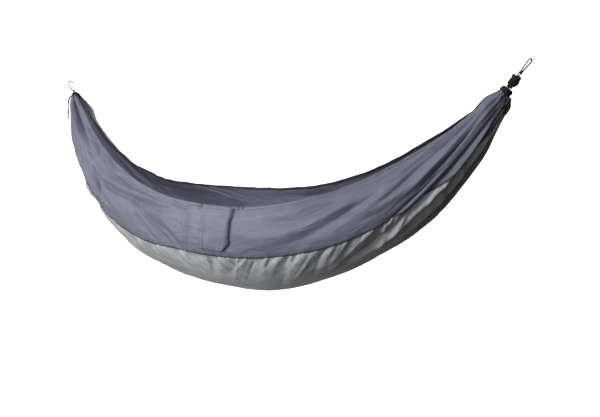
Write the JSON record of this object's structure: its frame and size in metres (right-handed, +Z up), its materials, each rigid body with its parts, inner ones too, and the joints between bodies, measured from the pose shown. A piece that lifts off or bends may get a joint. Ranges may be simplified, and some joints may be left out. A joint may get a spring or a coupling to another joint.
{
  "type": "gathered-end camping hammock",
  "caption": "Gathered-end camping hammock of slate side panels and a silver centre panel, with a side pocket, corded ends and a pear-shaped snap hook at each end, shown hanging empty.",
  "frame": {"origin": "where the inside of the head hook's wide end bears on the strap that holds it", "axes": "+X from the head end to the foot end along the chord, +Y to the far side, +Z up"},
  "size_m": [2.5754, 0.6244, 1.0952],
  "materials": {
    "slate_cloth": "soft sheen",
    "silver_cloth": "satin sheen",
    "black_rope": "braided",
    "hook_steel": "polished"
  },
  "bodies": {
    "cloth_and_ropes": {"near_side_panel": "slate_cloth", "centre_panel": "silver_cloth", "far_side_panel": "slate_cloth", "near_rim_hem": "slate_cloth", "far_rim_hem": "slate_cloth", "pocket_pouch": "slate_cloth", "pocket_mouth_hem": "slate_cloth", "head_end_channel": "slate_cloth", "head_rope_wraps": "black_rope", "head_rope_knot": "black_rope", "head_rope_eye": "black_rope", "head_rope_tail": "black_rope", "foot_end_channel": "slate_cloth", "foot_rope_wraps": "black_rope", "foot_rope_knot": "black_rope", "foot_rope_eye": "black_rope"},
    "head_hook": {"head_hook_body": "hook_steel", "head_gate_pin": "hook_steel"},
    "head_gate": {"head_hook_gate": "hook_steel", "head_gate_plunger": "hook_steel", "head_gate_spring": "hook_steel"},
    "foot_hook": {"foot_hook_body": "hook_steel", "foot_gate_pin": "hook_steel"},
    "foot_gate": {"foot_hook_gate": "hook_steel", "foot_gate_plunger": "hook_steel", "foot_gate_spring": "hook_steel"}
  },
  "joints": [
    {"name": "head_hook_swing", "type": "hinge", "parent": "cloth_and_ropes", "child": "head_hook", "pos_m": [0.02488, 0, -0.0468], "axis": [-0.6022, 0.7314, -0.3202], "range_deg": [-35, 35]},
    {"name": "head_gate_hinge", "type": "hinge", "parent": "head_hook", "child": "head_gate", "pos_m": [0.01678, -0.00565, -0.04446], "axis": [-0.6022, 0.7314, -0.3202], "range_deg": [0, 22], "stiffness_Nm_per_rad": 0.05, "springref_deg": -11.46},
    {"name": "foot_hook_swing", "type": "hinge", "parent": "cloth_and_ropes", "child": "foot_hook", "pos_m": [2.52852, 0, -0.00304], "axis": [-0.7694, 0.309, 0.559], "range_deg": [-35, 35]},
    {"name": "foot_gate_hinge", "type": "hinge", "parent": "foot_hook", "child": "foot_gate", "pos_m": [2.5299, -0.00788, 0.00321], "axis": [-0.7694, 0.309, 0.559], "range_deg": [0, 22], "stiffness_Nm_per_rad": 0.05, "springref_deg": -11.46}
  ]
}
